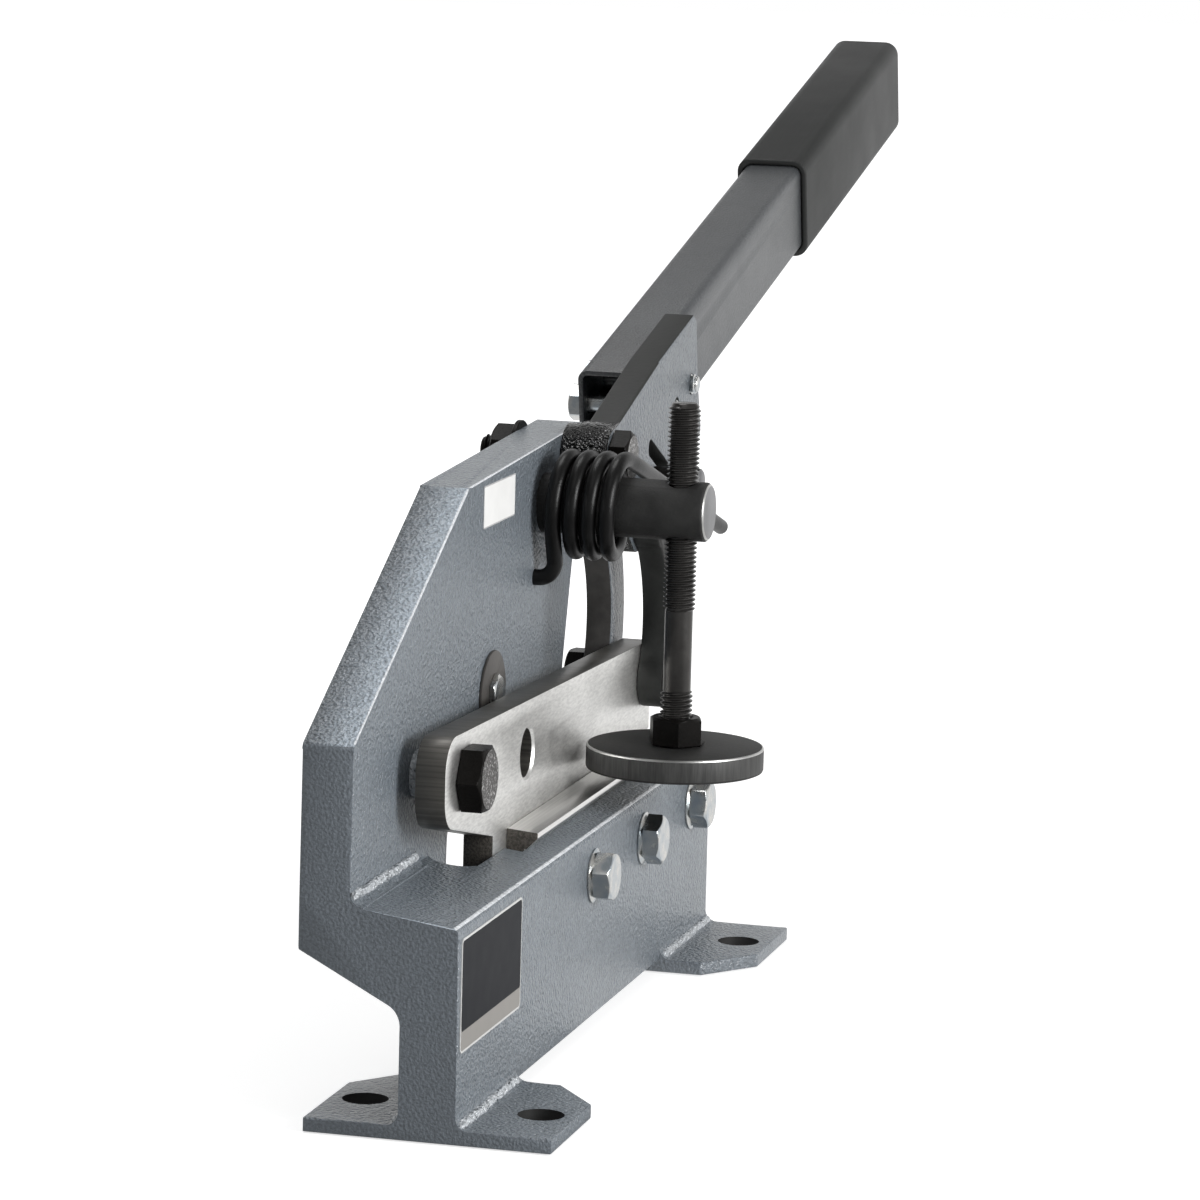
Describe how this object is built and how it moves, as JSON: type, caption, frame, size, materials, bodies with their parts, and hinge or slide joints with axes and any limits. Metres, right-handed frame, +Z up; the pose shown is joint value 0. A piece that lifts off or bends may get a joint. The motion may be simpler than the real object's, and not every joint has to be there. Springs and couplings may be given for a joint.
{
  "type": "bench lever shear",
  "caption": "Bench lever shear: welded Z-shaped frame on drilled feet, handle and curved links driving a pivoted blade past a bolted lower blade, screw hold-down and return spring.",
  "frame": {"origin": "centre of the bench hole pattern, on the bench surface", "axes": "+X along the machine from the blade pivot to the handle, +Y to the rear, +Z up"},
  "size_m": [0.819, 0.1186, 0.329],
  "materials": {
    "frame_paint": "blue-grey hammertone enamel",
    "handle_paint": "dark grey semi-gloss enamel",
    "blade_steel": "ground",
    "forged_blade": "ground face, brushed edges",
    "zinc": "bright zinc plate",
    "black_steel": "black oxide",
    "grip_plastic": "semi-gloss"
  },
  "bodies": {
    "frame": {"web": "frame_paint", "shelf": "frame_paint", "arm": "frame_paint", "foot_near": "frame_paint", "foot_far": "frame_paint", "lower_blade": "blade_steel", "blade_bolts": "zinc", "crossbar": "black_steel", "spring": "black_steel", "guide_disc": "frame_paint", "guide_bolt": "zinc", "lever_bolt": "black_steel", "lever_nut": "black_steel", "lever_spacer": "black_steel", "pivot_bolt": "black_steel", "pivot_nut": "black_steel", "pivot_spacer": "frame_paint"},
    "lever": {"lever_plate": "handle_paint", "lever_tube": "handle_paint", "grip": "grip_plastic", "tube_bolts": "zinc", "spring_peg": "black_steel"},
    "blade": {"moving_blade": "forged_blade"},
    "links": {"link_front": "black_steel", "link_rear": "black_steel", "link_pin": "black_steel", "link_bolt": "black_steel"},
    "pad": {"clamp_pad": "black_steel"},
    "screw": {"clamp_rod": "black_steel", "clamp_nut": "black_steel"}
  },
  "joints": [
    {"name": "lever_pivot", "type": "hinge", "parent": "frame", "child": "lever", "pos_m": [0.089, 0, 0.1985], "axis": [0, -1, 0], "range_deg": [0, 45]},
    {"name": "blade_pivot", "type": "hinge", "parent": "frame", "child": "blade", "pos_m": [-0.102, 0, 0.1103], "axis": [0, -1, 0], "range_deg": [0, 9]},
    {"name": "link_pivot", "type": "hinge", "parent": "blade", "child": "links", "pos_m": [0.144, 0, 0.106], "axis": [0, -1, 0], "range_deg": [-20, 0]},
    {"name": "hold_down", "type": "slide", "parent": "frame", "child": "pad", "axis": [0, 0, 1], "range_m": [-0.005, 0.035]},
    {"name": "screw_turn", "type": "hinge", "parent": "pad", "child": "screw", "pos_m": [0.057, -0.0246, 0.1], "axis": [0, 0, 1], "range_deg": [-1100, 7300]}
  ],
  "couplings": [
    {"joint": "blade_pivot", "follows": "lever_pivot", "ratio": 0.18198},
    {"joint": "link_pivot", "follows": "lever_pivot", "ratio": -0.42107},
    {"joint": "screw_turn", "follows": "hold_down", "rad_per_m": 3590.4}
  ]
}
